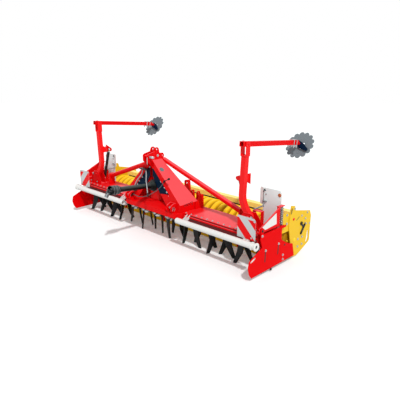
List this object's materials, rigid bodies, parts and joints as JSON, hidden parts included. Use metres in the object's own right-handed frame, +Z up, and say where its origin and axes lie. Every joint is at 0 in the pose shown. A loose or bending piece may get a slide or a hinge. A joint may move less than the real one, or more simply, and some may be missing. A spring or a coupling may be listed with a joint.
{
  "type": "power harrow",
  "caption": "Mounted power harrow: gear trough with tined rotors, packer roller, headstock and folding track markers.",
  "frame": {"origin": "on the ground, under the middle of the whole machine's box", "axes": "+X to the machine's left-hand side, -Y the way it is pulled, +Z up"},
  "size_m": [4, 2.3791, 1.6345],
  "materials": {
    "black_paint": "gloss coat",
    "black_plastic": "matt moulded",
    "board_sheet": "reflective sheet, red and white stripes",
    "cable_grey": "smooth",
    "chrome_rod": "polished",
    "forged_steel": "forged",
    "grey_disc": "satin coat",
    "hose_rubber": "woven sleeve",
    "navy_paint": "satin coat",
    "red_paint": "gloss coat",
    "spring_steel": "satin",
    "tine_steel": "black forged",
    "white_paint": "gloss coat",
    "yellow_paint": "gloss coat"
  },
  "bodies": {
    "frame": {"apex": "red_paint", "apron": "red_paint", "board_clamps": "forged_steel", "braces": "red_paint", "cable": "cable_grey", "deck": "red_paint", "end_boxes": "red_paint", "front_bars": "white_paint", "front_boards": "board_sheet", "gearbox": "red_paint", "hose_coupler": "forged_steel", "hose_holders": "black_paint", "hose_mast": "hose_rubber", "hose_web": "hose_rubber", "inner_guards": "navy_paint", "legs": "red_paint", "lever": "black_paint", "link_brackets": "red_paint", "marker_bases": "red_paint", "pto_guard": "black_plastic", "rear_boards": "board_sheet", "rear_lugs": "red_paint", "side_plates": "red_paint", "side_springs": "spring_steel", "spring_brackets": "red_paint", "trough": "red_paint"},
    "pto": {"pto_yoke": "forged_steel"},
    "roller": {"packer_roller": "yellow_paint"},
    "roller_frame": {"roller_cheeks": "yellow_paint", "scraper_beam": "yellow_paint", "scrapers": "yellow_paint"},
    "marker_post_left": {"marker_post_left": "red_paint"},
    "marker_arm_left": {"marker_arm_left": "red_paint", "marker_hub_left": "navy_paint"},
    "marker_disc_left": {"marker_disc_left": "grey_disc"},
    "ram_barrel_left": {"ram_barrel_left": "black_paint"},
    "ram_rod_left": {"ram_rod_left": "chrome_rod"},
    "marker_post_right": {"marker_post_right": "red_paint"},
    "marker_arm_right": {"marker_arm_right": "red_paint", "marker_hub_right": "navy_paint"},
    "marker_disc_right": {"marker_disc_right": "grey_disc"},
    "ram_barrel_right": {"ram_barrel_right": "black_paint"},
    "ram_rod_right": {"ram_rod_right": "chrome_rod"},
    "rotor_01": {"rotor_01": "tine_steel"},
    "rotor_02": {"rotor_02": "tine_steel"},
    "rotor_03": {"rotor_03": "tine_steel"},
    "rotor_04": {"rotor_04": "tine_steel"},
    "rotor_05": {"rotor_05": "tine_steel"},
    "rotor_06": {"rotor_06": "tine_steel"},
    "rotor_07": {"rotor_07": "tine_steel"},
    "rotor_08": {"rotor_08": "tine_steel"},
    "rotor_09": {"rotor_09": "tine_steel"},
    "rotor_10": {"rotor_10": "tine_steel"},
    "rotor_11": {"rotor_11": "tine_steel"},
    "rotor_12": {"rotor_12": "tine_steel"},
    "rotor_13": {"rotor_13": "tine_steel"},
    "rotor_14": {"rotor_14": "tine_steel"}
  },
  "joints": [
    {"name": "rotor_spin_01", "type": "hinge", "parent": "frame", "child": "rotor_01", "pos_m": [-1.85714, -0.125, 0.3], "axis": [0, 0, 1], "continuous": true},
    {"name": "rotor_spin_02", "type": "hinge", "parent": "frame", "child": "rotor_02", "pos_m": [-1.57143, -0.125, 0.3], "axis": [0, 0, 1], "continuous": true},
    {"name": "rotor_spin_03", "type": "hinge", "parent": "frame", "child": "rotor_03", "pos_m": [-1.28571, -0.125, 0.3], "axis": [0, 0, 1], "continuous": true},
    {"name": "rotor_spin_04", "type": "hinge", "parent": "frame", "child": "rotor_04", "pos_m": [-1, -0.125, 0.3], "axis": [0, 0, 1], "continuous": true},
    {"name": "rotor_spin_05", "type": "hinge", "parent": "frame", "child": "rotor_05", "pos_m": [-0.71429, -0.125, 0.3], "axis": [0, 0, 1], "continuous": true},
    {"name": "rotor_spin_06", "type": "hinge", "parent": "frame", "child": "rotor_06", "pos_m": [-0.42857, -0.125, 0.3], "axis": [0, 0, 1], "continuous": true},
    {"name": "rotor_spin_07", "type": "hinge", "parent": "frame", "child": "rotor_07", "pos_m": [-0.14286, -0.125, 0.3], "axis": [0, 0, 1], "continuous": true},
    {"name": "rotor_spin_08", "type": "hinge", "parent": "frame", "child": "rotor_08", "pos_m": [0.14286, -0.125, 0.3], "axis": [0, 0, 1], "continuous": true},
    {"name": "rotor_spin_09", "type": "hinge", "parent": "frame", "child": "rotor_09", "pos_m": [0.42857, -0.125, 0.3], "axis": [0, 0, 1], "continuous": true},
    {"name": "rotor_spin_10", "type": "hinge", "parent": "frame", "child": "rotor_10", "pos_m": [0.71429, -0.125, 0.3], "axis": [0, 0, 1], "continuous": true},
    {"name": "rotor_spin_11", "type": "hinge", "parent": "frame", "child": "rotor_11", "pos_m": [1, -0.125, 0.3], "axis": [0, 0, 1], "continuous": true},
    {"name": "rotor_spin_12", "type": "hinge", "parent": "frame", "child": "rotor_12", "pos_m": [1.28571, -0.125, 0.3], "axis": [0, 0, 1], "continuous": true},
    {"name": "rotor_spin_13", "type": "hinge", "parent": "frame", "child": "rotor_13", "pos_m": [1.57143, -0.125, 0.3], "axis": [0, 0, 1], "continuous": true},
    {"name": "rotor_spin_14", "type": "hinge", "parent": "frame", "child": "rotor_14", "pos_m": [1.85714, -0.125, 0.3], "axis": [0, 0, 1], "continuous": true},
    {"name": "pto_spin", "type": "hinge", "parent": "frame", "child": "pto", "pos_m": [0, -1.09508, 0.87894], "axis": [0, 0.9962, -0.0872], "continuous": true},
    {"name": "roller_arm_drop", "type": "hinge", "parent": "frame", "child": "roller_frame", "pos_m": [0, -0.015, 0.47], "axis": [-1, 0, 0], "range_deg": [0, 12]},
    {"name": "roller_spin", "type": "hinge", "parent": "roller_frame", "child": "roller", "pos_m": [0, 0.465, 0.26187], "axis": [1, 0, 0], "continuous": true},
    {"name": "marker_fold_left", "type": "hinge", "parent": "frame", "child": "marker_post_left", "pos_m": [1.7, -0.185, 0.69], "axis": [0, 1, 0], "range_deg": [0, 95]},
    {"name": "marker_unfold_left", "type": "hinge", "parent": "marker_post_left", "child": "marker_arm_left", "pos_m": [1.595, -0.185, 1.595], "axis": [1, 0, 0], "range_deg": [0, 95.5]},
    {"name": "marker_disc_spin_left", "type": "hinge", "parent": "marker_arm_left", "child": "marker_disc_left", "pos_m": [1.595, 1.05527, 1.43558], "axis": [0, 0.788, -0.6157], "continuous": true},
    {"name": "ram_swing_left", "type": "hinge", "parent": "frame", "child": "ram_barrel_left", "pos_m": [1.62, -0.105, 0.65], "axis": [0, 1, 0], "range_deg": [-1, 85.71]},
    {"name": "ram_stroke_left", "type": "slide", "parent": "ram_barrel_left", "child": "ram_rod_left", "axis": [-0.3278, 0, 0.9448], "range_m": [-0.002, 0.0885]},
    {"name": "marker_fold_right", "type": "hinge", "parent": "frame", "child": "marker_post_right", "pos_m": [-1.7, -0.185, 0.69], "axis": [0, -1, 0], "range_deg": [0, 95]},
    {"name": "marker_unfold_right", "type": "hinge", "parent": "marker_post_right", "child": "marker_arm_right", "pos_m": [-1.595, -0.185, 1.595], "axis": [1, 0, 0], "range_deg": [0, 95.5]},
    {"name": "marker_disc_spin_right", "type": "hinge", "parent": "marker_arm_right", "child": "marker_disc_right", "pos_m": [-1.595, 1.05527, 1.43558], "axis": [0, 0.788, -0.6157], "continuous": true},
    {"name": "ram_swing_right", "type": "hinge", "parent": "frame", "child": "ram_barrel_right", "pos_m": [-1.62, -0.105, 0.65], "axis": [0, -1, 0], "range_deg": [-1, 85.71]},
    {"name": "ram_stroke_right", "type": "slide", "parent": "ram_barrel_right", "child": "ram_rod_right", "axis": [0.3278, 0, 0.9448], "range_m": [-0.002, 0.0885]}
  ],
  "couplings": [
    {"joint": "rotor_spin_02", "follows": "rotor_spin_01", "ratio": -1},
    {"joint": "rotor_spin_03", "follows": "rotor_spin_01", "ratio": 1},
    {"joint": "rotor_spin_04", "follows": "rotor_spin_01", "ratio": -1},
    {"joint": "rotor_spin_05", "follows": "rotor_spin_01", "ratio": 1},
    {"joint": "rotor_spin_06", "follows": "rotor_spin_01", "ratio": -1},
    {"joint": "rotor_spin_07", "follows": "rotor_spin_01", "ratio": 1},
    {"joint": "rotor_spin_08", "follows": "rotor_spin_01", "ratio": -1},
    {"joint": "rotor_spin_09", "follows": "rotor_spin_01", "ratio": 1},
    {"joint": "rotor_spin_10", "follows": "rotor_spin_01", "ratio": -1},
    {"joint": "rotor_spin_11", "follows": "rotor_spin_01", "ratio": 1},
    {"joint": "rotor_spin_12", "follows": "rotor_spin_01", "ratio": -1},
    {"joint": "rotor_spin_13", "follows": "rotor_spin_01", "ratio": 1},
    {"joint": "rotor_spin_14", "follows": "rotor_spin_01", "ratio": -1},
    {"joint": "pto_spin", "follows": "rotor_spin_01", "ratio": 3},
    {"joint": "ram_swing_left", "follows": "marker_fold_left", "ratio": 0.89166},
    {"joint": "ram_stroke_left", "follows": "marker_fold_left", "m_per_rad": 0.05157},
    {"joint": "ram_swing_right", "follows": "marker_fold_right", "ratio": 0.89166},
    {"joint": "ram_stroke_right", "follows": "marker_fold_right", "m_per_rad": 0.05157}
  ]
}
